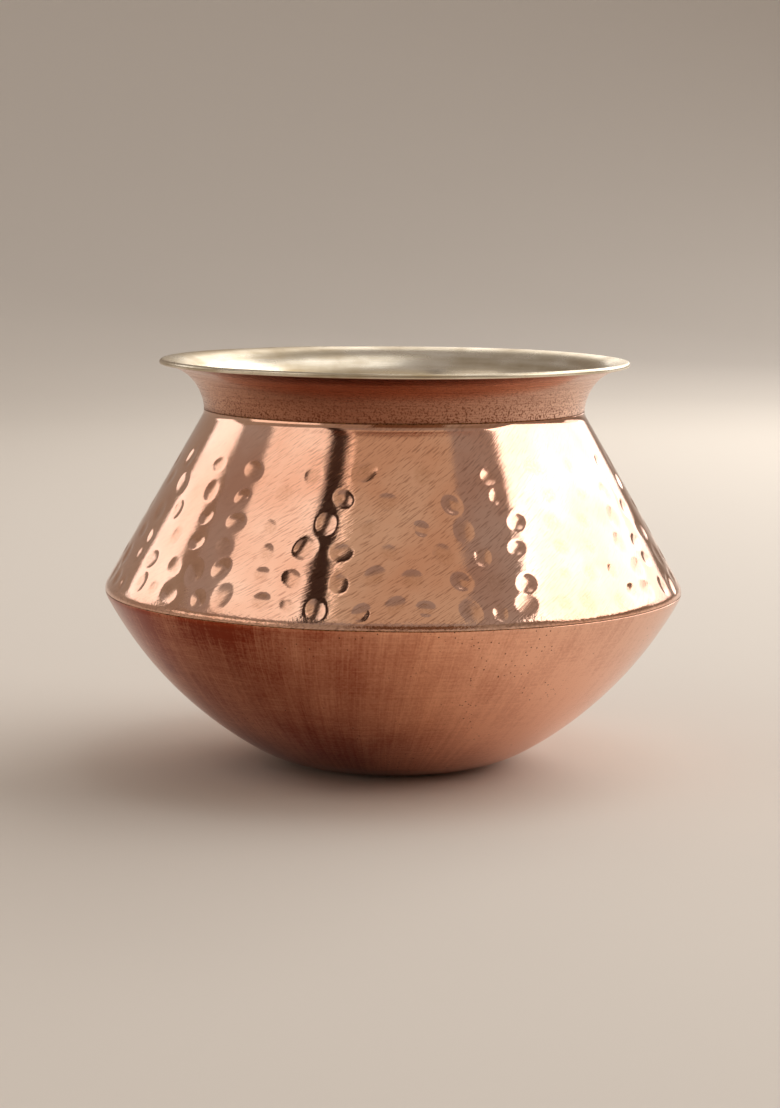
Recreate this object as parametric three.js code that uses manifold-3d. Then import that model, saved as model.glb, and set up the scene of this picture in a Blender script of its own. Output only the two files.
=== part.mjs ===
// Copper handi: a round-bottomed cooking pot of three copper pieces, a spun bowl, a hammered
// shoulder and a flared neck collar, brazed together in two flush laps and lined with tin.
// Millimetres and degrees, +Z up. The origin is the centre of the flat that the pot stands on.

import * as THREE from "three";
import { mergeVertices } from "three/addons/utils/BufferGeometryUtils.js";
import Module from "manifold-3d";

// Outside of the pot
const lipDiameter = 152; // over the tinned edge
const flareHeight = 15.9; // throat to the top of the lip
const neckDiameter = 123.4; // at the throat, the narrowest ring
const neckHeight = 115.8; // table to the throat
const bellyDiameter = 187.4;
const bellyHeight = 57.4; // table to the widest ring
const bellyRound = 4.2; // outside radius of the belly's edge
const throatRound = 5; // outside radius where the shoulder turns up into the neck
const dishRound = 125; // outside radius of the bowl's steep sides
const standRound = 47; // outside radius of the bowl's bottom, from the flat to the sides
const standDiameter = 45; // the flat under the bowl
const throatRise = 3.3; // pull of the upright throat on the flare
const lipReach = 11; // pull of the nearly level lip on the flare
const lipTilt = 7; // lip above level

// Sheet, lining and seams
const sheet = 1.5;
const tinThickness = 0.2;
const brazeGap = 0.2;
const bellySeamDrop = 0.4; // seam below the widest ring, down the belly's edge
const neckSeamDrop = 0.3; // seam below the throat
const bellyLap = 6; // tongue of the shoulder inside the bowl's rim
const neckLap = 5; // tongue of the shoulder inside the collar's foot
const lipWrap = 40; // how far the tin runs round the lip below its middle

// Hammer marks on the shoulder
const hammerRows = 6;
const hammerFirstRow = 4.4; // up the slope from the belly's edge
const hammerRowPitch = 8.7;
const hammerPitchLow = 10.7; // spacing round the lowest row
const hammerPitchHigh = 18; // spacing round the highest row
const hammerMarkDiameter = 6.6;
const hammerMarkDepth = 0.33;
const hammerScatterAround = 4.6;
const hammerScatterUp = 3;

// Facets
const turnSteps = 44;
const standSteps = 3;
const dishSteps = 4;
const bellySteps = 2;
const throatSteps = 2;
const flareSteps = 5;
const lipSteps = 3;
const hammerSides = 7;

const wasm = await Module();
wasm.setup();

const radians = THREE.MathUtils.degToRad;
const fromAngle = (angle) => new THREE.Vector2(Math.cos(angle), Math.sin(angle));
const arc = (centre, radius, from, to, clockwise = false) =>
  new THREE.EllipseCurve(centre.x, centre.y, radius, radius, from, to, clockwise);

// The outside of the copper as one smooth line in the (radius, height) plane, from the axis to
// the lip. Every piece is a band at some depth below this line.
function outsideLine() {
  const bellyCentre = new THREE.Vector2(bellyDiameter / 2 - bellyRound, bellyHeight);
  const throat = new THREE.Vector2(neckDiameter / 2, neckHeight);
  const throatCentre = throat.clone().add(new THREE.Vector2(throatRound, 0));
  const standEdge = new THREE.Vector2(standDiameter / 2, 0);
  const standCentre = standEdge.clone().add(new THREE.Vector2(0, standRound));

  // The cone touches the belly's edge and the throat's round: one normal serves both.
  const toThroat = throatCentre.clone().sub(bellyCentre);
  const coneNormal = toThroat.angle() - Math.acos((bellyRound + throatRound) / toThroat.length());
  const coneLow = bellyCentre.clone().addScaledVector(fromAngle(coneNormal), bellyRound);
  const coneHigh = throatCentre.clone().addScaledVector(fromAngle(coneNormal), -throatRound);

  // The dish touches the belly's edge and the stand's round from outside both.
  const toBelly = bellyCentre.clone().sub(standCentre);
  const bellyReach = dishRound - bellyRound;
  const standReach = dishRound - standRound;
  const along = (bellyReach ** 2 + toBelly.lengthSq() - standReach ** 2) / (2 * bellyReach);
  const toDishEnd = fromAngle(toBelly.angle() - Math.acos(along / toBelly.length()));
  const dishCentre = bellyCentre.clone().addScaledVector(toDishEnd, -bellyReach);
  const toDishStart = standCentre.clone().sub(dishCentre);
  const dishStart = Math.atan2(toDishStart.y, toDishStart.x);
  const dishEnd = Math.atan2(toDishEnd.y, toDishEnd.x);

  // The flare leaves the throat upright and ends along the lip.
  const lipAlong = fromAngle(radians(lipTilt));
  const lipInward = fromAngle(radians(lipTilt + 90));
  const edgeRound = sheet / 2 + tinThickness;
  const lipTop = neckHeight + flareHeight;
  const lipCentre = new THREE.Vector2(lipDiameter / 2 - edgeRound, lipTop - edgeRound);
  const lipEnd = lipCentre.clone().addScaledVector(lipInward, -sheet / 2);
  const throatPull = throat.clone().add(new THREE.Vector2(0, throatRise));
  const lipPull = lipEnd.clone().addScaledVector(lipAlong, -lipReach);

  return {
    stand: new THREE.LineCurve(new THREE.Vector2(0, 0), standEdge),
    standEdge: arc(standCentre, standRound, -Math.PI / 2, dishStart),
    dish: arc(dishCentre, dishRound, dishStart, dishEnd),
    belly: arc(bellyCentre, bellyRound, dishEnd, coneNormal),
    cone: new THREE.LineCurve(coneLow, coneHigh),
    throat: arc(throatCentre, throatRound, Math.PI + coneNormal, Math.PI, true),
    flare: new THREE.CubicBezierCurve(throat, throatPull, lipPull, lipEnd),
  };
}

const line = outsideLine();
const stretches = Object.values(line);
const starts = [0];
for (const stretch of stretches) starts.push(starts.at(-1) + stretch.getLength());
const startOf = (stretch) => starts[stretches.indexOf(stretch)];
const lipStart = starts.at(-1);

// The point at a distance along the outside line and a depth below it. Past the lip the line
// runs straight on, which is where the rounded edge lies.
function wallPoint(distance, depth) {
  const last = stretches.length - 1;
  const found = stretches.findIndex((_, i) => distance < starts[i + 1]);
  const index = found < 0 ? last : found;
  const share = Math.min((distance - starts[index]) / stretches[index].getLength(), 1);
  const tangent = stretches[index].getTangentAt(share);
  const inward = new THREE.Vector2(-tangent.y, tangent.x);
  const beyond = Math.max(distance - lipStart, 0);
  return stretches[index].getPointAt(share).addScaledVector(tangent, beyond).addScaledVector(inward, depth);
}

// Stations along the outside line where the faceted walls may bend.
function stationsOf(stretch, steps) {
  const made = [];
  for (let i = 0; i < steps; i++) made.push(startOf(stretch) + (stretch.getLength() * i) / steps);
  return made;
}
const stations = [
  ...stationsOf(line.stand, 1),
  ...stationsOf(line.standEdge, standSteps),
  ...stationsOf(line.dish, dishSteps),
  ...stationsOf(line.belly, bellySteps),
  ...stationsOf(line.cone, 1),
  ...stationsOf(line.throat, throatSteps),
  ...stationsOf(line.flare, flareSteps),
];
const stationGap = sheet / 2;

// One face of a wall: its points from one distance to another at one depth.
function face(from, to, depth) {
  const between = stations.filter((d) => d > from + stationGap && d < to - stationGap);
  return [from, ...between, to].map((d) => wallPoint(d, depth));
}
const turned = (points) => [...points].reverse();

// A flush lap: at a seam the sheets are thinned to half. The shoulder runs on as the inner half,
// a tongue behind the outer half of its neighbour. Braze fills the gap all the way through.
const outerHalf = (sheet - brazeGap) / 2;
const tongueDepth = outerHalf + brazeGap;
const widestRing = startOf(line.belly) - bellyRound * line.belly.aStartAngle;
const bellySeam = widestRing - bellySeamDrop;
const bellyTongueEnd = bellySeam - bellyLap;
const neckSeam = startOf(line.flare) - neckSeamDrop;
const neckTongueEnd = neckSeam + neckLap;

// Points round the lip's edge, from a radius and from one angle to another about its middle.
function lipEdge(radius, from, to) {
  const points = [];
  for (let i = 0; i <= lipSteps; i++) {
    const angle = radians(from + ((to - from) * i) / lipSteps);
    points.push(wallPoint(lipStart + radius * Math.cos(angle), sheet / 2 + radius * Math.sin(angle)));
  }
  return points;
}

// A closed section turned about the vertical axis.
function turnedSolid(section) {
  const closed = section[0].x === 0 ? section : [...section, section[0]];
  return new THREE.LatheGeometry(closed, turnSteps).rotateX(Math.PI / 2);
}

function bowlSection() {
  return [
    ...face(0, bellySeam, 0),
    ...turned(face(bellyTongueEnd - brazeGap, bellySeam, outerHalf)),
    ...turned(face(0, bellyTongueEnd - brazeGap, sheet)),
  ];
}

function shoulderSection() {
  return [
    ...face(bellySeam + brazeGap, neckSeam, 0),
    ...face(neckSeam, neckTongueEnd, tongueDepth),
    ...turned(face(bellyTongueEnd, neckTongueEnd, sheet)),
    ...face(bellyTongueEnd, bellySeam + brazeGap, tongueDepth),
  ];
}

function collarSection() {
  return [
    ...face(neckSeam + brazeGap, lipStart, 0),
    ...lipEdge(sheet / 2, -lipWrap, 90),
    ...turned(face(neckTongueEnd + brazeGap, lipStart, sheet)).slice(1),
    ...turned(face(neckSeam + brazeGap, neckTongueEnd + brazeGap, outerHalf)),
  ];
}

function bellyBrazeSection() {
  return [
    wallPoint(bellySeam, 0),
    wallPoint(bellySeam + brazeGap, 0),
    ...turned(face(bellyTongueEnd, bellySeam + brazeGap, tongueDepth)),
    wallPoint(bellyTongueEnd, sheet),
    wallPoint(bellyTongueEnd - brazeGap, sheet),
    ...face(bellyTongueEnd - brazeGap, bellySeam, outerHalf),
  ];
}

function neckBrazeSection() {
  return [
    wallPoint(neckSeam, 0),
    wallPoint(neckSeam + brazeGap, 0),
    ...face(neckSeam + brazeGap, neckTongueEnd + brazeGap, outerHalf),
    wallPoint(neckTongueEnd + brazeGap, sheet),
    wallPoint(neckTongueEnd, sheet),
    ...turned(face(neckSeam, neckTongueEnd, tongueDepth)),
  ];
}

// The tin lies on the copper's inner faces and wraps the lip's edge.
function liningSection() {
  const onSheet = sheet + tinThickness;
  const under = [
    ...face(0, bellyTongueEnd - brazeGap, sheet),
    ...face(bellyTongueEnd, neckTongueEnd, sheet),
    ...face(neckTongueEnd + brazeGap, lipStart, sheet),
    ...lipEdge(sheet / 2, 90, -lipWrap).slice(1),
  ];
  const over = [
    ...face(0, bellyTongueEnd, onSheet),
    ...face(bellyTongueEnd, neckTongueEnd, onSheet).slice(1),
    ...face(neckTongueEnd, lipStart, onSheet).slice(1),
    ...lipEdge(sheet / 2 + tinThickness, 90, -lipWrap).slice(1),
  ];
  return [...under, ...turned(over)];
}

// Boolean solids
function solidOf(geometry) {
  const bare = geometry.clone();
  bare.deleteAttribute("normal");
  bare.deleteAttribute("uv");
  const merged = mergeVertices(bare);
  return new wasm.Manifold(
    new wasm.Mesh({
      numProp: 3,
      vertProperties: merged.getAttribute("position").array,
      triVerts: new Uint32Array(merged.index.array),
    }),
  );
}

function geometryOf(solid) {
  const mesh = solid.getMesh();
  return new THREE.BufferGeometry()
    .setAttribute("position", new THREE.BufferAttribute(mesh.vertProperties, 3))
    .setIndex(new THREE.BufferAttribute(mesh.triVerts, 1));
}

// Where the hammer landed: rows up the cone, wider apart towards the neck, each blow a little off
// its place. The scatter comes from two spreading sequences, so it is the same on every build.
const spread = (count, step) => ((count * step) % 1) - 0.5;
const scatterAroundStep = 0.6180339887;
const scatterUpStep = 0.7548776662;

function hammerBlows() {
  const blows = [];
  const coneStart = startOf(line.cone);
  for (let row = 0; row < hammerRows; row++) {
    const share = hammerRows > 1 ? row / (hammerRows - 1) : 0;
    const pitch = THREE.MathUtils.lerp(hammerPitchLow, hammerPitchHigh, share);
    const rowDistance = coneStart + hammerFirstRow + row * hammerRowPitch;
    const rowRadius = wallPoint(rowDistance, 0).x;
    const count = Math.round((2 * Math.PI * rowRadius) / pitch);
    for (let i = 0; i < count; i++) {
      const number = blows.length + 1;
      const aside = spread(number, scatterAroundStep) * hammerScatterAround;
      blows.push({
        distance: rowDistance + spread(number, scatterUpStep) * hammerScatterUp,
        turn: ((i + (row % 2) / 2) / count) * 2 * Math.PI + aside / rowRadius,
      });
    }
  }
  return blows;
}

// One hammer mark as a cutter: a shallow dish whose rim lies on the wall, with its hollow below.
function hammerCutter(blow) {
  const radius = hammerMarkDiameter / 2;
  const slope = hammerMarkDepth / radius;
  const above = sheet / 4;
  const profile = [
    new THREE.Vector2(0, -hammerMarkDepth),
    new THREE.Vector2(radius + above / slope, above),
    new THREE.Vector2(0, above),
  ];
  const facet = (2 * Math.PI) / turnSteps;
  const fromMiddle = (((blow.turn % facet) + facet) % facet) - facet / 2;
  const onFacet = Math.cos(facet / 2) / Math.cos(fromMiddle);
  const place = wallPoint(blow.distance, 0);
  const out = wallPoint(blow.distance, -1).sub(place);
  const around = new THREE.Vector3(Math.sin(blow.turn), -Math.cos(blow.turn), 0);
  const normal = around.clone().multiplyScalar(out.x).setZ(out.y).normalize();
  const centre = around.multiplyScalar(place.x * onFacet).setZ(place.y);
  const upright = new THREE.Vector3(0, 1, 0);
  const turn = new THREE.Quaternion().setFromUnitVectors(upright, normal);
  return new THREE.LatheGeometry(profile, hammerSides).applyQuaternion(turn).translate(...centre);
}

function hammeredShoulder() {
  let shoulder = solidOf(turnedSolid(shoulderSection()));
  for (const blow of hammerBlows()) shoulder = shoulder.subtract(solidOf(hammerCutter(blow)));
  return geometryOf(shoulder);
}

// Finishes
const polishedCopper = new THREE.MeshStandardMaterial({ color: 0xd9986f, roughness: 0.12, metalness: 1 });
const brushedCopper = new THREE.MeshStandardMaterial({ color: 0xb8694a, roughness: 0.42, metalness: 1 });
const wipedTin = new THREE.MeshStandardMaterial({ color: 0xcfcbc0, roughness: 0.32, metalness: 1 });
const braze = new THREE.MeshStandardMaterial({ color: 0xc79a55, roughness: 0.4, metalness: 1 });

function piece(name, geometry, material) {
  const mesh = new THREE.Mesh(geometry, material);
  mesh.name = name;
  return mesh;
}

const handi = new THREE.Group();
handi.name = "handi";
handi.add(
  piece("bowl", turnedSolid(bowlSection()), brushedCopper),
  piece("shoulder", hammeredShoulder(), polishedCopper),
  piece("neck_collar", turnedSolid(collarSection()), brushedCopper),
  piece("belly_braze", turnedSolid(bellyBrazeSection()), braze),
  piece("neck_braze", turnedSolid(neckBrazeSection()), braze),
  piece("tin_lining", turnedSolid(liningSection()), wipedTin),
);

export default handi;
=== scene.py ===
import math
from bisect import bisect

import bmesh
import bpy
from mathutils import Matrix, Vector, geometry, kdtree, noise


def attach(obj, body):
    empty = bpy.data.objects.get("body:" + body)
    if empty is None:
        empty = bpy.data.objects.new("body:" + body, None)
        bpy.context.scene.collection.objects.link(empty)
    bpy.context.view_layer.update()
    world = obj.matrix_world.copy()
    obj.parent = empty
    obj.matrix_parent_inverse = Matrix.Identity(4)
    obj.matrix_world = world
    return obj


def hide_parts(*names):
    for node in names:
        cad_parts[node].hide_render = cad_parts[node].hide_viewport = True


# Copper handi: satin bowl, hammered and polished shoulder, turned collar, tin inside.
# Lengths are in mm until a vertex is made, and the front of the pot faces -Y.

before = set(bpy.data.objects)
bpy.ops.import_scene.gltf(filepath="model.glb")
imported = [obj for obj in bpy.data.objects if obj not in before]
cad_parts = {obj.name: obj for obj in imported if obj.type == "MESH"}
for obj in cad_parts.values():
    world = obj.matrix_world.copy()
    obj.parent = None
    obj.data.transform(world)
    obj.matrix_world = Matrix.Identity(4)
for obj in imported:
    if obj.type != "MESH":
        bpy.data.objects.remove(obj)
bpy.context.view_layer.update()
mm = 0.001
print("frame loaded:", sorted(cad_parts))


def linear(hexColour):  # sRGB hex to the linear colour that shaders take
    parts = [int(hexColour[i:i + 2], 16) / 255 for i in (1, 3, 5)]
    return [c / 12.92 if c <= 0.04045 else ((c + 0.055) / 1.055) ** 2.4 for c in parts] + [1.0]


def addNode(material, kind, inputs, output=0, **settings):
    # inputs come in order or by name, a socket is linked and any other value is set;
    # Map Range takes a field, its range and the new range, and 6, 7 and 2 are the colours of Mix
    node = material.node_tree.nodes.new("ShaderNode" + kind)
    for name, value in settings.items():
        setattr(node, name, value)
    for key, value in inputs.items() if isinstance(inputs, dict) else enumerate(inputs):
        if isinstance(value, bpy.types.NodeSocket):
            material.node_tree.links.new(value, node.inputs[key])
        else:
            node.inputs[key].default_value = value
    return node.outputs[output]


# Outside line of the pot, with the CAD part's driving sizes

potShape = {
    "lipDiameter": 152.0,
    "flareHeight": 15.9,  # throat to the top of the lip
    "neckDiameter": 123.4,
    "neckHeight": 115.8,
    "bellyDiameter": 187.4,
    "bellyHeight": 57.4,
    "bellyRound": 4.2,
    "throatRound": 5.0,
    "dishRound": 125.0,
    "standRound": 47.0,
    "standDiameter": 45.0,
    "throatRise": 3.3,  # pulls on the two ends of the flare
    "lipReach": 11.0,
    "lipTilt": 7.0,  # degrees above level
    "sheet": 1.5,
    "tin": 0.2,
    "brazeGap": 0.2,
    "bellySeamDrop": 0.4,
    "neckSeamDrop": 0.3,
    "bellyLap": 6.0,
    "neckLap": 5.0,
    "lipWrap": 40.0,  # degrees of tin round the lip, below its middle
}

# Spacing of the rings of vertices along each stretch of the outside line
rowStep = {
    "stand": 4.5,
    "standEdge": 1.2,
    "dish": 1.2,
    "belly": 0.4,
    "cone": 0.62,
    "throat": 0.4,
    "flare": 0.5,
}


def polar(angle, radius=1.0):
    return Vector((math.cos(angle), math.sin(angle))) * radius


def straight(start, end):
    way = (end - start).normalized()
    return (end - start).length, lambda distance: (start + way * distance, way)


def roundTurn(centre, radius, startAngle, endAngle):
    side = math.copysign(1, endAngle - startAngle)

    def at(distance):
        angle = startAngle + side * distance / radius
        return centre + polar(angle, radius), polar(angle + side * math.pi / 2)

    return radius * abs(endAngle - startAngle), at


def flowing(start, startPull, endPull, end, samples=240):
    points = geometry.interpolate_bezier(start, startPull, endPull, end, samples)
    reached = [0.0]
    for before, after in zip(points, points[1:]):
        reached.append(reached[-1] + (after - before).length)

    def at(distance):  # past the end the line runs straight on
        index = min(max(bisect(reached, distance), 1), samples - 1)
        way = (points[index] - points[index - 1]).normalized()
        return points[index - 1] + way * (distance - reached[index - 1]), way

    return reached[-1], at


def outsideLine(shape):
    bellyCentre = Vector((shape["bellyDiameter"] / 2 - shape["bellyRound"], shape["bellyHeight"]))
    throat = Vector((shape["neckDiameter"] / 2, shape["neckHeight"]))
    throatCentre = throat + Vector((shape["throatRound"], 0))
    standEdge = Vector((shape["standDiameter"] / 2, 0))
    standCentre = standEdge + Vector((0, shape["standRound"]))

    # the cone touches the belly's edge and the throat's round
    toThroat = throatCentre - bellyCentre
    coneNormal = math.atan2(toThroat.y, toThroat.x)
    coneNormal -= math.acos((shape["bellyRound"] + shape["throatRound"]) / toThroat.length)
    coneLow = bellyCentre + polar(coneNormal, shape["bellyRound"])
    coneHigh = throatCentre - polar(coneNormal, shape["throatRound"])

    # the dish touches the belly's edge and the stand's round
    toBelly = bellyCentre - standCentre
    bellyReach = shape["dishRound"] - shape["bellyRound"]
    standReach = shape["dishRound"] - shape["standRound"]
    along = (bellyReach ** 2 + toBelly.length_squared - standReach ** 2) / (2 * bellyReach)
    dishEnd = math.atan2(toBelly.y, toBelly.x) - math.acos(along / toBelly.length)
    dishCentre = bellyCentre - polar(dishEnd, bellyReach)
    dishStart = math.atan2(*(standCentre - dishCentre).yx)

    # the flare leaves the throat upright and ends along the lip
    lipAngle = math.radians(shape["lipTilt"])
    lipRound = shape["sheet"] / 2 + shape["tin"]
    lipTop = shape["neckHeight"] + shape["flareHeight"]
    lipCentre = Vector((shape["lipDiameter"] / 2 - lipRound, lipTop - lipRound))
    lipEnd = lipCentre - polar(lipAngle + math.pi / 2, shape["sheet"] / 2)
    throatPull = throat + Vector((0, shape["throatRise"]))
    lipPull = lipEnd - polar(lipAngle, shape["lipReach"])

    return {
        "stand": straight(Vector((0, 0)), standEdge),
        "standEdge": roundTurn(standCentre, shape["standRound"], -math.pi / 2, dishStart),
        "dish": roundTurn(dishCentre, shape["dishRound"], dishStart, dishEnd),
        "belly": roundTurn(bellyCentre, shape["bellyRound"], dishEnd, coneNormal),
        "cone": straight(coneLow, coneHigh),
        "throat": roundTurn(throatCentre, shape["throatRound"], math.pi + coneNormal, math.pi),
        "flare": flowing(throat, throatPull, lipPull, lipEnd),
    }


stretches = outsideLine(potShape)
clearOfEnds = 0.3  # no ring of vertices stands closer than this to the ends of a face
startOf = {}
lipStart = 0.0
stations = []
for stretchName, (stretchLength, _) in stretches.items():
    startOf[stretchName] = lipStart
    rows = math.ceil(stretchLength / rowStep[stretchName])
    stations += [lipStart + stretchLength * i / rows for i in range(rows)]
    lipStart += stretchLength


def wallPoint(distance, depth):  # (radius, height) at a distance along the line and a depth below it
    name = [n for n in startOf if startOf[n] <= max(distance, 0.0)][-1]
    point, way = stretches[name][1](distance - startOf[name])
    return point + Vector((-way.y, way.x)) * depth


def wallFace(start, end, depth, every=1):  # points of one face of a wall, thinned where it is hidden
    inside = [d for d in stations if start + clearOfEnds < d < end - clearOfEnds][::every]
    return [wallPoint(d, depth) for d in [start, *inside, end]]


def lipEdge(radius, start, end, steps=8):  # points round the lip, angles in degrees about its middle
    points = []
    for i in range(steps + 1):
        angle = math.radians(start + (end - start) * i / steps)
        depth = potShape["sheet"] / 2 + radius * math.sin(angle)
        points.append(wallPoint(lipStart + radius * math.cos(angle), depth))
    return points


sheet = potShape["sheet"]
gap = potShape["brazeGap"]
outerHalf = (sheet - gap) / 2  # both sheets are thinned to half where they lap
tongueDepth = outerHalf + gap
bellyLean = math.atan2(*stretches["belly"][1](0)[1])  # off upright where the belly's edge starts
widestRing = startOf["belly"] + potShape["bellyRound"] * bellyLean
bellySeam = widestRing - potShape["bellySeamDrop"]
bellyTongueEnd = bellySeam - potShape["bellyLap"]
neckSeam = startOf["flare"] - potShape["neckSeamDrop"]
neckTongueEnd = neckSeam + potShape["neckLap"]
print("outside line:", round(lipStart, 1), "mm from the middle of the base to the lip")


# Hand work: no ring of a beaten pot is quite true

handWork = {"drift": 0.22, "span": 45.0, "flatBelow": 3.0, "freeAbove": 12.0, "seed": 11}
noise.seed_set(handWork["seed"])  # without it the drift differs on every run


def handMoved(place):  # one slow drift for all the pieces, so that seams stay shut, none at the base
    share = (place.z - handWork["flatBelow"]) / (handWork["freeAbove"] - handWork["flatBelow"])
    share = min(max(share, 0.0), 1.0)
    return place + noise.noise_vector(place / handWork["span"]) * handWork["drift"] * share


spinDoublings = 4  # a sixteenth is spun and then doubled, quicker than one long spin
weldDistance = 0.001


def spunShell(section, steps):  # a section in mm turned about Z, starting at the front
    shell = bmesh.new()
    verts = [shell.verts.new((0, -point.x, point.y)) for point in section]
    edges = [shell.edges.new(pair) for pair in zip(verts, verts[1:])]
    if section[0].x > 0:
        edges.append(shell.edges.new((verts[-1], verts[0])))
    angle = 2 * math.pi / 2 ** spinDoublings
    bmesh.ops.spin(shell, geom=verts + edges, cent=(0, 0, 0), axis=(0, 0, 1), angle=angle, steps=steps)
    for _ in range(spinDoublings):
        made = bmesh.ops.duplicate(shell, geom=shell.verts[:] + shell.edges[:] + shell.faces[:])["geom"]
        copied = [part for part in made if isinstance(part, bmesh.types.BMVert)]
        bmesh.ops.rotate(shell, verts=copied, cent=(0, 0, 0), matrix=Matrix.Rotation(angle, 3, "Z"))
        angle *= 2
    bmesh.ops.remove_doubles(shell, verts=shell.verts, dist=weldDistance)
    bmesh.ops.recalc_face_normals(shell, faces=shell.faces)
    return shell


def finishPiece(shell, name, node, material, crease=35.0):
    for vert in shell.verts:
        vert.co = handMoved(vert.co) * mm
    for face in shell.faces:
        face.smooth = True
    mesh = bpy.data.meshes.new(name)
    shell.to_mesh(mesh)
    shell.free()
    mesh.set_sharp_from_angle(angle=math.radians(crease))
    mesh.materials.append(material)
    piece = bpy.data.objects.new(name, mesh)
    bpy.context.scene.collection.objects.link(piece)
    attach(piece, "root")
    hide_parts(node)
    triangles = sum(len(polygon.vertices) - 2 for polygon in mesh.polygons)
    print("piece", name, triangles, "triangles")


# Materials, from patterns that lie on the pot's own axes

noiseMiddle = (0.35, 0.65)  # where most of a noise field lies, and nearly all of it
noiseWhole = (0.3, 0.7)
grainDetail = 2.0  # octaves of noise in fine grain and in soft clouds
cloudDetail = 4.0


def startMaterial(name):  # a metal, with its place on the object and the three axes of that place
    material = bpy.data.materials.new(name)
    material.use_nodes = True
    material.node_tree.nodes["Principled BSDF"].inputs["Metallic"].default_value = 1.0
    place = addNode(material, "TexCoord", [], "Object")
    axes = addNode(material, "SeparateXYZ", [place]).node.outputs
    return material, place, axes


def finishMaterial(material, colour, rough, bump):
    shader = material.node_tree.nodes["Principled BSDF"]
    for name, socket in {"Base Color": colour, "Roughness": rough, "Normal": bump}.items():
        material.node_tree.links.new(socket, shader.inputs[name])
    return material


def turnAngle(material, axes):  # radians round from the front
    back = addNode(material, "Math", [axes["Y"], -1.0], operation="MULTIPLY")
    return addNode(material, "Math", [axes["X"], back], operation="ARCTAN2")


def slantedStrokes(material, axes, turn, spacing, length, rise, radius):
    # strokes that climb at rise degrees on a wall of that radius and close on themselves, sizes in mm
    lean = -1 / (radius * mm * math.tan(math.radians(rise)))
    across = radius * math.sin(math.radians(rise)) / spacing
    upward = 1 / (length * mm * math.sin(math.radians(rise)))
    leaning = addNode(material, "Math", [axes["Z"], lean, turn], operation="MULTIPLY_ADD")
    cosine = addNode(material, "Math", [leaning], operation="COSINE")
    sine = addNode(material, "Math", [leaning], operation="SINE")
    ring = addNode(material, "CombineXYZ", [cosine, sine, axes["Z"]])
    field = addNode(material, "Mapping", {"Vector": ring, "Scale": (across, across, upward)})
    return addNode(material, "TexNoise", {"Vector": field, "Scale": 1.0, "Detail": grainDetail})


def levelStrokes(material, place, spacing, length, detail=3.0):  # strokes round the pot, sizes in mm
    scale = (1 / (length * mm), 1 / (length * mm), 1 / (spacing * mm))
    field = addNode(material, "Mapping", {"Vector": place, "Scale": scale})
    return addNode(material, "TexNoise", {"Vector": field, "Scale": 1.0, "Detail": detail})


# Polished copper, hammered cold and buffed on a wheel: mirror reflections whose edges are combed by
# the buff's slanting scratches, with duller floors in the marks that the wheel rode over

polishedCopper = {
    "clean": "#EFC4AC",
    "ruddy": "#E3AC90",
    "scratched": "#7A4630",
    "markFloor": "#B98563",
    "markDull": 0.34,  # how far the floors of the marks take that colour
    "markEdge": (0.1, 0.8),  # shares of a mark's depth between which it does
    "speckleEdge": (0.35, 0.6),  # levels of the grain that break it up, and the least left of it
    "speckleLeast": 0.3,
    "blotch": 26.0,
    "scratchSpacing": 0.3,  # real ones are a tenth of this, too fine to show
    "scratchLength": 3.8,
    "scratchRise": 34.0,
    "scratchDepth": 0.012,
    "scratchEdge": (0.55, 0.64),
    "scratchShare": (0.44, 0.1),  # at the front, where the wheel was held, and at the sides
    "scratchTurn": (18.0, 44.0),  # degrees round from the front
    "ringSpacing": 0.9,  # lathe lines, drawn coarse too
    "ringLength": 30.0,
    "ringDepth": 0.004,
    "grain": 0.8,  # pitting along the belly's edge, between these heights
    "grainDepth": 0.1,
    "grainBand": (57.5, 61.5),
    "grainElsewhere": 0.035,
    "edgePits": 0.3,  # how dark the pits along that edge are
    "pitEdge": (0.5, 0.6),
    "roughness": (0.04, 0.08),
    "markRoughness": 0.12,
    "markRoughEdge": (0.1, 0.6),
    "edgeRoughness": 0.14,
}


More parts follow.
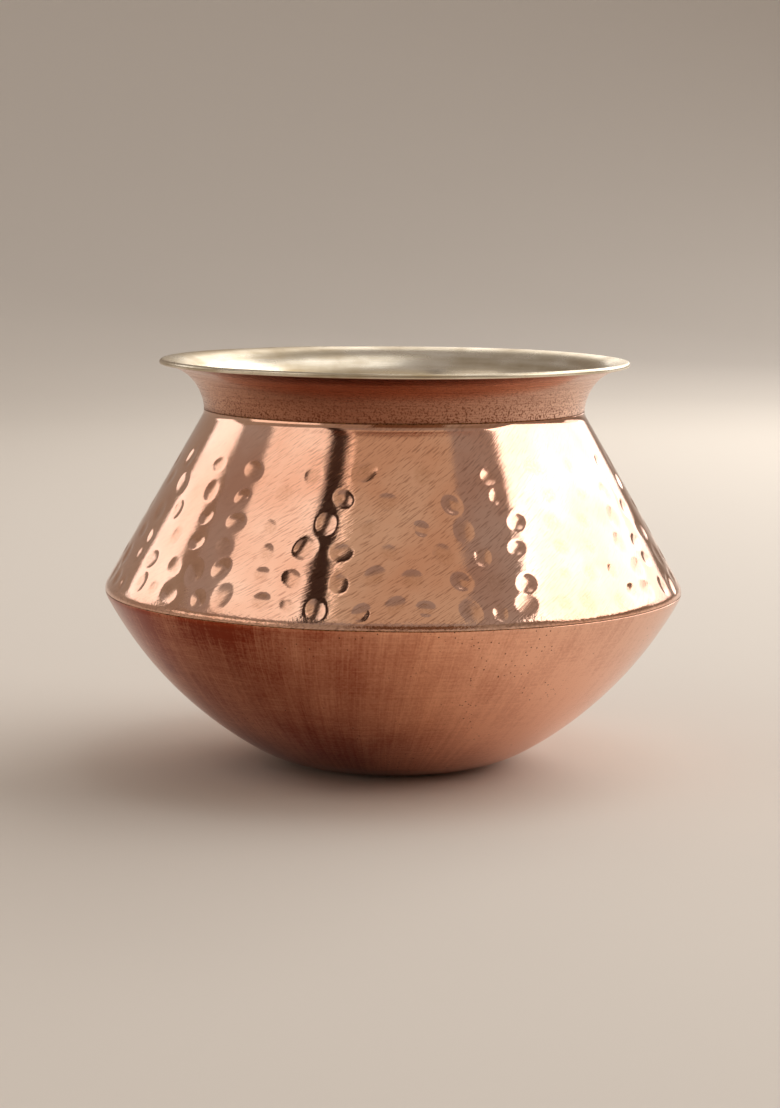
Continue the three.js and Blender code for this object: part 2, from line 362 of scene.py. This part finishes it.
def makePolishedCopper(look):
    material, place, axes = startMaterial("polished_copper")
    turn = turnAngle(material, axes)
    middleRadius = (potShape["neckDiameter"] + potShape["bellyDiameter"]) / 4
    cloud = {"Vector": place, "Scale": 1 / (look["blotch"] * mm), "Detail": cloudDetail}
    blotch = addNode(material, "TexNoise", cloud)
    fine = {"Vector": place, "Scale": 1 / (look["grain"] * mm), "Detail": grainDetail}
    grain = addNode(material, "TexNoise", fine)
    scratch = slantedStrokes(material, axes, turn, look["scratchSpacing"], look["scratchLength"],
                             look["scratchRise"], middleRadius)
    ring = levelStrokes(material, place, look["ringSpacing"], look["ringLength"])
    mark = addNode(material, "Attribute", [], "Fac", attribute_name="mark")
    edgeLow, edgeHigh = look["grainBand"]
    edge = addNode(material, "MapRange", [axes["Z"], edgeHigh * mm, edgeLow * mm])

    # colour: blotches, then scratches, the floors of the marks and the pits along the edge
    heavyTo, lightFrom = [math.radians(angle) for angle in look["scratchTurn"]]
    fromFront = addNode(material, "Math", [turn], operation="ABSOLUTE")
    heavy = addNode(material, "MapRange", [fromFront, heavyTo, lightFrom, *look["scratchShare"]])
    cut = addNode(material, "MapRange", [scratch, *look["scratchEdge"], 0.0, heavy])
    least = look["speckleLeast"] * look["markDull"]
    speckle = addNode(material, "MapRange", [grain, *look["speckleEdge"], least, look["markDull"]])
    floor = addNode(material, "MapRange", [mark, *look["markEdge"], 0.0, speckle])
    edgePits = addNode(material, "Math", [edge, look["edgePits"]], operation="MULTIPLY")
    pits = addNode(material, "MapRange", [grain, *look["pitEdge"], 0.0, edgePits])
    tone = addNode(material, "MapRange", [blotch, *noiseMiddle])
    copper = linear(look["clean"])
    for share, colour in ((tone, "ruddy"), (cut, "scratched"), (floor, "markFloor"), (pits, "scratched")):
        layer = {"Factor": share, 6: copper, 7: linear(look[colour])}
        copper = addNode(material, "Mix", layer, 2, data_type="RGBA")

    rough = addNode(material, "MapRange", [blotch, *noiseWhole, *look["roughness"]])
    rough = addNode(material, "MapRange", [mark, *look["markRoughEdge"], rough, look["markRoughness"]])
    rough = addNode(material, "MapRange", [edge, 0.0, 1.0, rough, look["edgeRoughness"]])

    lathe = {"Height": ring, "Distance": look["ringDepth"] * mm, "Strength": 1.0}
    bump = addNode(material, "Bump", lathe)
    buff = {"Height": scratch, "Distance": look["scratchDepth"] * mm, "Strength": 1.0, "Normal": bump}
    bump = addNode(material, "Bump", buff)
    pitted = addNode(material, "MapRange", [edge, 0.0, 1.0, look["grainElsewhere"], 1.0])
    pitting = {"Height": grain, "Distance": look["grainDepth"] * mm, "Strength": pitted, "Normal": bump}
    bump = addNode(material, "Bump", pitting)
    return finishMaterial(material, copper, rough, bump)


# Brushed copper, turned on a lathe and left from the emery: fine level lines above, pitted below,
# and a soft long highlight; the colour also holds painted shade at the front and on the left, and a
# painted highlight on the right

brushedCopper = {
    "bare": "#F9CCB3",
    "clean": "#F4BF9D",
    "film": "#84462F",
    "pit": "#6C3822",
    "frontShade": (-30.0, -62.0, 0.62),  # painted shade in the film colour at the front, along Y, and on the left side, along X
    "sideShade": (35.0, -50.0, 0.4),
    "paintedHighlightSide": (5.0, 50.0),  # painted highlight: paler copper on the other side
    "lineShare": 0.34,
    "lineEdge": (0.36, 0.68),
    "lineSpacing": 0.34,  # emery lines, drawn about four times coarser than real ones, to show
    "lineLength": 28.0,
    "lineDetail": 4.0,
    "lineDepth": 0.006,
    "pitSize": 0.55,
    "pitEdge": (0.5, 0.62),
    "pitDepth": 0.02,
    "pitsFrom": 116.0,  # pitting fades out up the flare, from this height to the next
    "pitsTo": 133.0,
    "roughness": (0.18, 0.32),
}


def makeBrushedCopper(look):
    material, place, axes = startMaterial("brushed_copper")
    lines = levelStrokes(material, place, look["lineSpacing"], look["lineLength"], look["lineDetail"])
    fine = {"Vector": place, "Scale": 1 / (look["pitSize"] * mm), "Detail": grainDetail}
    grain = addNode(material, "TexNoise", fine)
    low = addNode(material, "MapRange", [axes["Z"], look["pitsTo"] * mm, look["pitsFrom"] * mm])

    # colour: painted highlight on one side, then painted shade in the film colour, film lines and pits
    start, end = look["paintedHighlightSide"]
    bare = addNode(material, "MapRange", [axes["X"], start * mm, end * mm])
    # painted shade: the film colour darkens the front along Y and the left side along X
    start, end, share = look["frontShade"]
    front = addNode(material, "MapRange", [axes["Y"], start * mm, end * mm, 0.0, share])
    start, end, share = look["sideShade"]
    side = addNode(material, "MapRange", [axes["X"], start * mm, end * mm, 0.0, share])
    film = addNode(material, "Math", [front, side], operation="ADD")
    drawn = addNode(material, "MapRange", [lines, *look["lineEdge"], 0.0, look["lineShare"]])
    pits = addNode(material, "MapRange", [grain, *look["pitEdge"], 0.0, low])
    copper = linear(look["clean"])
    for share, colour in ((bare, "bare"), (film, "film"), (drawn, "film"), (pits, "pit")):
        layer = {"Factor": share, 6: copper, 7: linear(look[colour])}
        copper = addNode(material, "Mix", layer, 2, data_type="RGBA")

    rough = addNode(material, "MapRange", [lines, *noiseWhole, *look["roughness"]])
    emery = {"Height": lines, "Distance": look["lineDepth"] * mm, "Strength": 1.0}
    bump = addNode(material, "Bump", emery)
    pitting = {"Height": grain, "Distance": look["pitDepth"] * mm, "Strength": low, "Normal": bump}
    bump = addNode(material, "Bump", pitting)
    return finishMaterial(material, copper, rough, bump)


# Satin copper, spun, pickled and scoured by hand: a warm broad sheen with crossed scouring strokes,
# black pits that gather in places and the reddish film that copper takes on; the film colour also paints
# shade on the left and front and towards the base, and the right carries a painted highlight

satinCopper = {
    "bare": "#F9C9B1",
    "clean": "#F5B18B",
    "film": "#933C22",
    "pit": "#3C2018",
    "blotch": 30.0,
    "blotchDetail": 5.0,
    "paintedHighlightSide": (10.0, 75.0, 0.9),  # painted highlight: paler copper on one side, from here to there along X, and how far
    "paintedShadeWay": (-0.8, -0.6, 0.0),  # painted shade in the film colour thickens this way, from here to there, up to this share
    "paintedShadeDrift": (12.0, 88.0, 0.86),
    "paintedBaseShade": (32.0, 3.0, 0.5),  # and painted shade in the film colour towards the base, between these heights
    "paintedBaseShadeSide": (45.0, 5.0),  # that painted shade on one side, along X
    "patchy": 0.16,  # how far blotches, mottle, strokes and long streaks thin or thicken it
    "mottle": 0.9,
    "mottleShare": 0.08,
    "strokeShare": 0.055,
    "streakSpacing": 2.6,
    "streakLength": 70.0,
    "streakRise": 76.0,
    "streakShare": 0.075,
    "levelSpacing": 0.45,  # scouring strokes, drawn coarser than the real 0.1 mm
    "levelLength": 12.0,
    "uprightSpacing": 0.5,
    "uprightLength": 14.0,
    "uprightRise": 83.0,
    "strokeDepth": 0.01,
    "strokeShine": 0.18,  # how far a stroke wears the film off
    "strokeEdge": (0.54, 0.72),
    "rubbedEdge": (0.38, 0.6),  # levels of the blotches between which strokes show, and the least
    "rubbedLeast": 0.2,
    "pitSize": 1.7,
    "pitRadius": (0.17, 0.09),  # of a pit's rim and its floor, in cells of that size
    "pitted": (34.0, -76.0, 43.0),  # the middle of the worst pitting, and how far it spreads
    "pittedSpan": 34.0,
    "pittedMore": 0.2,
    "pittedPatch": 15.0,
    "pittedEdge": (0.56, 0.64),
    "roughness": (0.14, 0.24),
}


def makeSatinCopper(look):
    material, place, axes = startMaterial("satin_copper")
    turn = turnAngle(material, axes)
    bellyRadius = potShape["bellyDiameter"] / 2
    cloud = {"Vector": place, "Scale": 1 / (look["blotch"] * mm), "Detail": look["blotchDetail"]}
    blotch = addNode(material, "TexNoise", cloud)
    fine = {"Vector": place, "Scale": 1 / (look["mottle"] * mm), "Detail": grainDetail}
    mottle = addNode(material, "TexNoise", fine)
    level = levelStrokes(material, place, look["levelSpacing"], look["levelLength"])
    upright = slantedStrokes(material, axes, turn, look["uprightSpacing"], look["uprightLength"],
                             look["uprightRise"], bellyRadius)
    streaks = slantedStrokes(material, axes, turn, look["streakSpacing"], look["streakLength"],
                             look["streakRise"], bellyRadius)
    strokes = addNode(material, "Math", [level, upright], operation="MAXIMUM")

    # film: painted shade as a drift one way and towards the base, thinned or thickened by the patterns of
    # real film
    toward = addNode(material, "VectorMath", [place, look["paintedShadeWay"]], "Value", operation="DOT_PRODUCT")
    start, end, share = look["paintedShadeDrift"]
    film = addNode(material, "MapRange", [toward, start * mm, end * mm, 0.0, share])
    start, end, share = look["paintedBaseShade"]
    base = addNode(material, "MapRange", [axes["Z"], start * mm, end * mm, 0.0, share])
    # the painted shade at the base is kept off the right side, fading out along X
    start, end = look["paintedBaseShadeSide"]
    base = addNode(material, "MapRange", [axes["X"], start * mm, end * mm, 0.0, base])
    changes = [base]
    for field, key in ((blotch, "patchy"), (mottle, "mottleShare"), (level, "strokeShare"),
                       (upright, "strokeShare"), (streaks, "streakShare")):
        changes.append(addNode(material, "MapRange", [field, *noiseMiddle, look[key], -look[key]]))
    for change in changes:
        film = addNode(material, "Math", [film, change], operation="ADD")

    # pits: round cells, only in patches and more of them near the worst place
    cells = addNode(material, "TexVoronoi", {"Vector": place, "Scale": 1 / (look["pitSize"] * mm)})
    patch = {"Vector": place, "Scale": 1 / (look["pittedPatch"] * mm), "Detail": grainDetail}
    patch = addNode(material, "TexNoise", patch)
    worst = Vector(look["pitted"]) * mm
    away = addNode(material, "VectorMath", [place, worst], "Value", operation="DISTANCE")
    more = addNode(material, "MapRange", [away, look["pittedSpan"] * mm, 0.0, 0.0, look["pittedMore"]])
    patch = addNode(material, "Math", [patch, more], operation="ADD")
    patch = addNode(material, "MapRange", [patch, *look["pittedEdge"]])
    pits = addNode(material, "MapRange", [cells, *look["pitRadius"], 0.0, patch])

    # colour: film and painted shade over copper with a painted highlight on one side, worn off again
    # along the strokes, then pits
    start, end, share = look["paintedHighlightSide"]
    bare = addNode(material, "MapRange", [axes["X"], start * mm, end * mm, 0.0, share])
    clean = {"Factor": bare, 6: linear(look["clean"]), 7: linear(look["bare"])}
    clean = addNode(material, "Mix", clean, 2, data_type="RGBA")
    least = look["rubbedLeast"] * look["strokeShine"]
    shine = addNode(material, "MapRange", [blotch, *look["rubbedEdge"], least, look["strokeShine"]])
    worn = addNode(material, "MapRange", [strokes, *look["strokeEdge"], 0.0, shine])
    copper = clean
    for share, colour in ((film, linear(look["film"])), (worn, clean), (pits, linear(look["pit"]))):
        layer = {"Factor": share, 6: copper, 7: colour}
        copper = addNode(material, "Mix", layer, 2, data_type="RGBA")

    rough = addNode(material, "MapRange", [blotch, *noiseWhole, *look["roughness"]])
    scouring = {"Height": strokes, "Distance": look["strokeDepth"] * mm, "Strength": 1.0}
    bump = addNode(material, "Bump", scouring)
    return finishMaterial(material, copper, rough, bump)


# Tin, melted on and wiped round with cotton: grey-white, streaky, half dull

wipedTin = {
    "bright": "#EEE5D2",
    "dull": "#B3A080",
    "streakSpacing": 2.2,
    "streakLength": 45.0,
    "streakDepth": 0.025,
    "blotch": 14.0,
    "dullEdge": (0.7, 1.3),  # levels of streaks and blotches together
    "roughness": (0.22, 0.36),
}


def makeWipedTin(look):
    material, place, _ = startMaterial("wiped_tin")
    streaks = levelStrokes(material, place, look["streakSpacing"], look["streakLength"])
    cloud = {"Vector": place, "Scale": 1 / (look["blotch"] * mm), "Detail": cloudDetail}
    blotch = addNode(material, "TexNoise", cloud)
    both = addNode(material, "Math", [streaks, blotch], operation="ADD")
    tone = addNode(material, "MapRange", [both, *look["dullEdge"]])
    layer = {"Factor": tone, 6: linear(look["bright"]), 7: linear(look["dull"])}
    tin = addNode(material, "Mix", layer, 2, data_type="RGBA")
    rough = addNode(material, "MapRange", [both, *look["dullEdge"], *look["roughness"]])
    wiping = {"Height": both, "Distance": look["streakDepth"] * mm, "Strength": 1.0}
    bump = addNode(material, "Bump", wiping)
    return finishMaterial(material, tin, rough, bump)


# Brass braze, run in hot and scoured off flush: a dull yellowish line, pitted with flux

brazeLine = {
    "metal": "#A0724A",
    "flux": "#5A3A24",
    "grain": 0.7,
    "fluxEdge": (0.45, 0.6),
    "roughness": 0.38,
}


def makeBraze(look):
    material, place, _ = startMaterial("brass_braze")
    fine = {"Vector": place, "Scale": 1 / (look["grain"] * mm), "Detail": grainDetail}
    grain = addNode(material, "TexNoise", fine)
    flux = addNode(material, "MapRange", [grain, *look["fluxEdge"]])
    layer = {"Factor": flux, 6: linear(look["metal"]), 7: linear(look["flux"])}
    metal = addNode(material, "Mix", layer, 2, data_type="RGBA")
    shader = material.node_tree.nodes["Principled BSDF"]
    shader.inputs["Roughness"].default_value = look["roughness"]
    material.node_tree.links.new(metal, shader.inputs["Base Color"])
    return material


satin = makeSatinCopper(satinCopper)
polished = makePolishedCopper(polishedCopper)
brushed = makeBrushedCopper(brushedCopper)
tinned = makeWipedTin(wipedTin)
brazed = makeBraze(brazeLine)
print("materials made")


# Bowl

# Steps are per sixteenth of a turn, and hidden faces keep only every so many rings of vertices
bowl = {"steps": 30, "edgeBreak": 0.1, "lapEvery": 3, "insideEvery": 4}


def bowlSection():
    edge = bowl["edgeBreak"]
    return [
        *wallFace(0, bellySeam - edge, 0),
        wallPoint(bellySeam, edge),
        *wallFace(bellyTongueEnd - gap, bellySeam, outerHalf, bowl["lapEvery"])[::-1],
        *wallFace(0, bellyTongueEnd - gap, sheet, bowl["insideEvery"])[::-1],
    ]


bowlShell = spunShell(bowlSection(), bowl["steps"])
finishPiece(bowlShell, "satin_bowl", "bowl", satin)


# Shoulder with its hammer marks

shoulder = {
    "steps": 47,
    "edgeBreak": 0.1,
    "markFree": 11.0,  # down from the throat
    "markFreeEvery": 3,
    "lapEvery": 4,
    "bendEvery": 4,  # inside, at the throat and the belly, and along the straight cone
    "coneEvery": 20,
}

hammer = {
    "rows": 6,
    "firstRow": 4.4,  # up the slope from the belly's edge
    "rowPitch": 8.7,
    "pitchLow": 10.7,  # spacing round the lowest and the highest row
    "pitchHigh": 18.0,
    "diameter": 6.6,
    "depth": 0.33,
    "scatterAround": 4.6,
    "scatterUp": 3.0,
    "sizeSpread": 0.4,
    "lightest": 0.5,  # the lightest and the heaviest blow, as shares of the depth
    "heaviest": 1.3,
    "oval": 0.11,
    "rimSoft": 0.035,  # how far the rim is rounded over, in depth
    "ripple": 0.05,  # shallow planishing between the marks, and its span
    "rippleSpan": 9.0,
    "reachPast": 1.0,  # how far past the widest rim that planishing goes
}

# Irrational steps, so that the scatter of one property never lines up with that of another
scatterStep = {
    "around": 0.6180339887,
    "up": 0.7548776662,
    "force": 0.4142135624,
    "size": 0.5698402910,
    "tilt": 0.7320508076,
}


def shoulderSection():
    edge = shoulder["edgeBreak"]
    smoothFrom = startOf["throat"] - shoulder["markFree"]
    return [
        wallPoint(bellySeam + gap, edge),
        *wallFace(bellySeam + gap + edge, smoothFrom, 0),
        *wallFace(smoothFrom, startOf["throat"], 0, shoulder["markFreeEvery"])[1:],
        *wallFace(startOf["throat"], neckSeam - edge, 0)[1:],
        wallPoint(neckSeam, edge),
        *wallFace(neckSeam, neckTongueEnd, tongueDepth, shoulder["lapEvery"]),
        *wallFace(startOf["throat"], neckTongueEnd, sheet, shoulder["bendEvery"])[:0:-1],
        *wallFace(startOf["cone"], startOf["throat"], sheet, shoulder["coneEvery"])[:0:-1],
        *wallFace(bellyTongueEnd, startOf["cone"], sheet, shoulder["bendEvery"])[::-1],
        *wallFace(bellyTongueEnd, bellySeam + gap, tongueDepth, shoulder["lapEvery"]),
    ]


def spread(count, key):  # even scatter from -0.5 to 0.5, the same on every run
    return (count * scatterStep[key]) % 1 - 0.5


def hammerBlows():
    blows = []
    weight = hammer["heaviest"] - hammer["lightest"]
    for row in range(hammer["rows"]):
        share = row / (hammer["rows"] - 1)
        pitch = hammer["pitchLow"] + (hammer["pitchHigh"] - hammer["pitchLow"]) * share
        rowDistance = startOf["cone"] + hammer["firstRow"] + row * hammer["rowPitch"]
        rowRadius = wallPoint(rowDistance, 0).x
        count = int(2 * math.pi * rowRadius / pitch + 0.5)
        for i in range(count):
            number = len(blows) + 1
            aside = spread(number, "around") * hammer["scatterAround"]
            distance = rowDistance + spread(number, "up") * hammer["scatterUp"]
            turn = (i + (row % 2) / 2) / count * 2 * math.pi + aside / rowRadius
            around = Vector((math.cos(turn), math.sin(turn), 0))
            outward = Vector((math.sin(turn), -math.cos(turn), 0))
            force = 0.5 + spread(number, "force")
            radius = hammer["diameter"] / 2 * (1 + spread(number, "size") * hammer["sizeSpread"])
            wall = wallPoint(distance, 0)
            out = wallPoint(distance, -1) - wall
            normal = outward * out.x + Vector((0, 0, out.y))
            blows.append({
                "centre": outward * wall.x + Vector((0, 0, wall.y)),
                "around": around,
                "normal": normal,
                "up": normal.cross(around),
                "radius": radius,
                "depth": hammer["depth"] * (hammer["lightest"] + weight * force),
                "tilt": spread(number, "tilt") * math.pi,
            })
    return blows


def hammerWall(shell):
    blows = hammerBlows()
    near = kdtree.KDTree(len(blows))
    for index, blow in enumerate(blows):
        near.insert(blow["centre"], index)
    near.balance()
    reach = hammer["diameter"] / 2 * (1 + hammer["sizeSpread"]) + hammer["reachPast"]
    markLayer = shell.verts.layers.float.new("mark")
    for vert in shell.verts:
        deepest = None
        closest = reach
        for _, index, away in near.find_range(vert.co, reach):
            blow = blows[index]
            offset = vert.co - blow["centre"]
            if offset.dot(blow["normal"]) < -sheet / 3:  # the tongue and the inner face
                continue
            aside, upward = offset.dot(blow["around"]), offset.dot(blow["up"])
            bearing = math.atan2(upward, aside) - blow["tilt"]
            radius = blow["radius"] * (1 + hammer["oval"] * math.cos(2 * bearing))
            level = blow["depth"] * (1 - (aside ** 2 + upward ** 2) / radius ** 2)
            closest = min(closest, away)
            if deepest is None or level > deepest[0]:
                deepest = level, blow
        if deepest:
            level, blow = deepest
            soft = hammer["rimSoft"]
            sunk = (level + math.sqrt(level ** 2 + soft ** 2)) / 2
            worked = 1 - (closest / reach) ** 2
            sunk += noise.noise(vert.co / hammer["rippleSpan"]) * hammer["ripple"] * worked
            vert.co -= blow["normal"] * sunk
            vert[markLayer] = min(max(level / blow["depth"], 0.0), 1.0)
    print("hammer marks:", len(blows))


shoulderShell = spunShell(shoulderSection(), shoulder["steps"])
hammerWall(shoulderShell)
finishPiece(shoulderShell, "hammered_shoulder", "shoulder", polished)


# Collar

collar = {"steps": 24, "edgeBreak": 0.15, "lapEvery": 4, "insideEvery": 4}


def collarSection():
    edge = collar["edgeBreak"]
    return [
        wallPoint(neckSeam + gap, edge),
        *wallFace(neckSeam + gap + edge, lipStart, 0),
        *lipEdge(sheet / 2, -90, 90)[1:],
        *wallFace(neckTongueEnd + gap, lipStart, sheet, collar["insideEvery"])[-2::-1],
        *wallFace(neckSeam + gap, neckTongueEnd + gap, outerHalf, collar["lapEvery"])[::-1],
    ]


collarShell = spunShell(collarSection(), collar["steps"])
finishPiece(collarShell, "flared_collar", "neck_collar", brushed)


# Braze in the two laps, a little below the copper where it was scoured

braze = {"steps": 16, "below": 0.05, "bellyEvery": 3, "neckEvery": 4}


def bellyBrazeSection():
    return [
        wallPoint(bellySeam, braze["below"]),
        wallPoint(bellySeam + gap, braze["below"]),
        *wallFace(bellyTongueEnd, bellySeam + gap, tongueDepth, braze["bellyEvery"])[::-1],
        wallPoint(bellyTongueEnd, sheet),
        wallPoint(bellyTongueEnd - gap, sheet),
        *wallFace(bellyTongueEnd - gap, bellySeam, outerHalf, braze["bellyEvery"]),
    ]


def neckBrazeSection():
    return [
        wallPoint(neckSeam, braze["below"]),
        wallPoint(neckSeam + gap, braze["below"]),
        *wallFace(neckSeam + gap, neckTongueEnd + gap, outerHalf, braze["neckEvery"]),
        wallPoint(neckTongueEnd + gap, sheet),
        wallPoint(neckTongueEnd, sheet),
        *wallFace(neckSeam, neckTongueEnd, tongueDepth, braze["neckEvery"])[::-1],
    ]


bellyBrazeShell = spunShell(bellyBrazeSection(), braze["steps"])
finishPiece(bellyBrazeShell, "belly_braze_ring", "belly_braze", brazed)
neckBrazeShell = spunShell(neckBrazeSection(), braze["steps"])
finishPiece(neckBrazeShell, "neck_braze_ring", "neck_braze", brazed)


# Tin lining

lining = {"steps": 22, "hiddenEvery": 6, "seenEvery": 2}


def liningSection():
    tin = potShape["tin"]
    wrap = potShape["lipWrap"]
    under = [
        *wallFace(0, lipStart, sheet, lining["hiddenEvery"]),
        *lipEdge(sheet / 2, 90, -wrap)[1:],
    ]
    over = [
        *wallFace(0, lipStart, sheet + tin, lining["seenEvery"]),
        *lipEdge(sheet / 2 + tin, 90, -wrap)[1:],
    ]
    return [*under, *over[::-1]]


liningShell = spunShell(liningSection(), lining["steps"])
finishPiece(liningShell, "wiped_tin_lining", "tin_lining", tinned)


# Studio: a round pale sweep, softboxes and two dark cards

sweep = {
    "floor": 1400.0,
    "round": 1500.0,
    "height": 1700.0,
    "below": 0.05,  # under the pot's base
    "roundStep": 6,  # degrees
    "steps": 96,
    "colour": "#DAD2C8",
}

# Turn and rise in degrees, from the front towards the right and above level, distance and size in metres,
# then the lamp's radiance and its colour
softboxes = {
    "overhead": (95, 72, 1.2, (0.8, 0.8), 1.0, "#FFFFFF"),
    "right": (112, 33, 1.5, (2.5, 0.97), 2.5, "#FFFFFF"),
    "rightLow": (145, 11, 1.6, (1.3, 0.2), 1.7, "#FFFFFF"),
    "backRight": (161, 26, 1.5, (0.98, 0.9), 1.45, "#FFFAF0"),
    "leftFront": (-59, 45, 1.0, (0.74, 0.4), 0.8, "#FFF7EE"),
    "leftBack": (-121, 22, 1.0, (0.38, 0.34), 1.15, "#FFFFFF"),
    "leftLow": (-68, 11, 1.4, (1.3, 0.22), 0.9, "#FFF4EA"),
    "frontFill": (0, 53, 1.0, (0.9, 0.36), 0.24, "#F2D498"),
}
darkCards = {
    "narrow_flag": (-37, 47, 0.95, (0.14, 0.6), "#3C2F29"),
    "front_flag": (8, 14, 1.3, (0.95, 0.5), "#80644F"),
}
matte = {"roughness": 0.9, "specular": 0.2}  # paper and cloth
studio = {"world": "#FFF2EA", "worldStrength": 0.37, "aim": 70.0}


def aimed(thing, turn, rise, distance):
    turn, rise = math.radians(turn), math.radians(rise)
    way = Vector((math.sin(turn) * math.cos(rise), -math.cos(turn) * math.cos(rise), math.sin(rise)))
    thing.location = Vector((0, 0, studio["aim"] * mm)) + way * distance
    thing.rotation_euler = (-way).to_track_quat("-Z", "Y").to_euler()
    bpy.context.scene.collection.objects.link(thing)


def matteMaterial(name, colour):
    material = bpy.data.materials.new(name)
    material.use_nodes = True
    shader = material.node_tree.nodes["Principled BSDF"]
    shader.inputs["Base Color"].default_value = linear(colour)
    shader.inputs["Roughness"].default_value = matte["roughness"]
    shader.inputs["Specular IOR Level"].default_value = matte["specular"]
    return material


def makeSweep():
    corner = Vector((sweep["floor"], sweep["round"]))
    profile = [Vector((0, 0))]
    turns = range(-90, 1, sweep["roundStep"])
    profile += [corner + polar(math.radians(angle), sweep["round"]) for angle in turns]
    profile.append(Vector((sweep["floor"] + sweep["round"], sweep["height"])))
    shell = bmesh.new()
    verts = [shell.verts.new((0, -point.x * mm, point.y * mm)) for point in profile]
    edges = [shell.edges.new(pair) for pair in zip(verts, verts[1:])]
    bmesh.ops.spin(shell, geom=verts + edges, cent=(0, 0, 0), axis=(0, 0, 1), angle=2 * math.pi,
                   steps=sweep["steps"], use_merge=True)
    bmesh.ops.remove_doubles(shell, verts=shell.verts, dist=weldDistance * mm)
    for face in shell.faces:
        face.smooth = True
    mesh = bpy.data.meshes.new("studio_sweep")
    shell.to_mesh(mesh)
    shell.free()
    mesh.materials.append(matteMaterial("pale_paper", sweep["colour"]))
    floor = bpy.data.objects.new("studio_sweep", mesh)
    floor.location.z = -sweep["below"] * mm
    bpy.context.scene.collection.objects.link(floor)


def makeSoftbox(name, turn, rise, distance, size, radiance, colour):
    lamp = bpy.data.lights.new(name, "AREA")
    lamp.shape = "RECTANGLE"
    lamp.size, lamp.size_y = size
    lamp.energy = radiance * math.pi * lamp.size * lamp.size_y
    lamp.color = linear(colour)[:3]
    holder = bpy.data.objects.new(name, lamp)
    holder.visible_camera = False
    aimed(holder, turn, rise, distance)


def makeDarkCard(name, turn, rise, distance, size, colour):
    shell = bmesh.new()
    bmesh.ops.create_grid(shell, x_segments=1, y_segments=1, size=0.5)
    bmesh.ops.scale(shell, verts=shell.verts, vec=(*size, 1))
    mesh = bpy.data.meshes.new(name)
    shell.to_mesh(mesh)
    shell.free()
    mesh.materials.append(matteMaterial(name + "_cloth", colour))
    holder = bpy.data.objects.new(name, mesh)
    holder.visible_camera = False
    holder.visible_diffuse = False
    holder.visible_shadow = False
    aimed(holder, turn, rise, distance)


makeSweep()
for softboxName, softbox in softboxes.items():
    makeSoftbox(softboxName, *softbox)
for cardName, darkCard in darkCards.items():
    makeDarkCard(cardName, *darkCard)

world = bpy.data.worlds.new("studio_air")
world.use_nodes = True
air = world.node_tree.nodes["Background"]
air.inputs["Color"].default_value = linear(studio["world"])
air.inputs["Strength"].default_value = studio["worldStrength"]
bpy.context.scene.world = world
print("studio set")


# Camera, fitted to the photograph

view = {
    "distance": 888.4,
    "height": 184.0,
    "aside": -1.09,
    "pitch": 7.44,  # degrees down
    "roll": 0.45,
    "lens": 89.13,
    "sensor": 36.0,
}

lens = bpy.data.cameras.new("front_camera")
lens.sensor_fit = "VERTICAL"
lens.sensor_height = view["sensor"]
lens.lens = view["lens"]
camera = bpy.data.objects.new("front_camera", lens)
camera.location = Vector((view["aside"], -view["distance"], view["height"])) * mm
tilt = Matrix.Rotation(math.radians(90 - view["pitch"]), 3, "X")
camera.rotation_euler = (tilt @ Matrix.Rotation(math.radians(view["roll"]), 3, "Z")).to_euler()
bpy.context.scene.collection.objects.link(camera)
bpy.context.scene.camera = camera
bpy.context.scene.view_settings.view_transform = "Standard"
print("camera set")
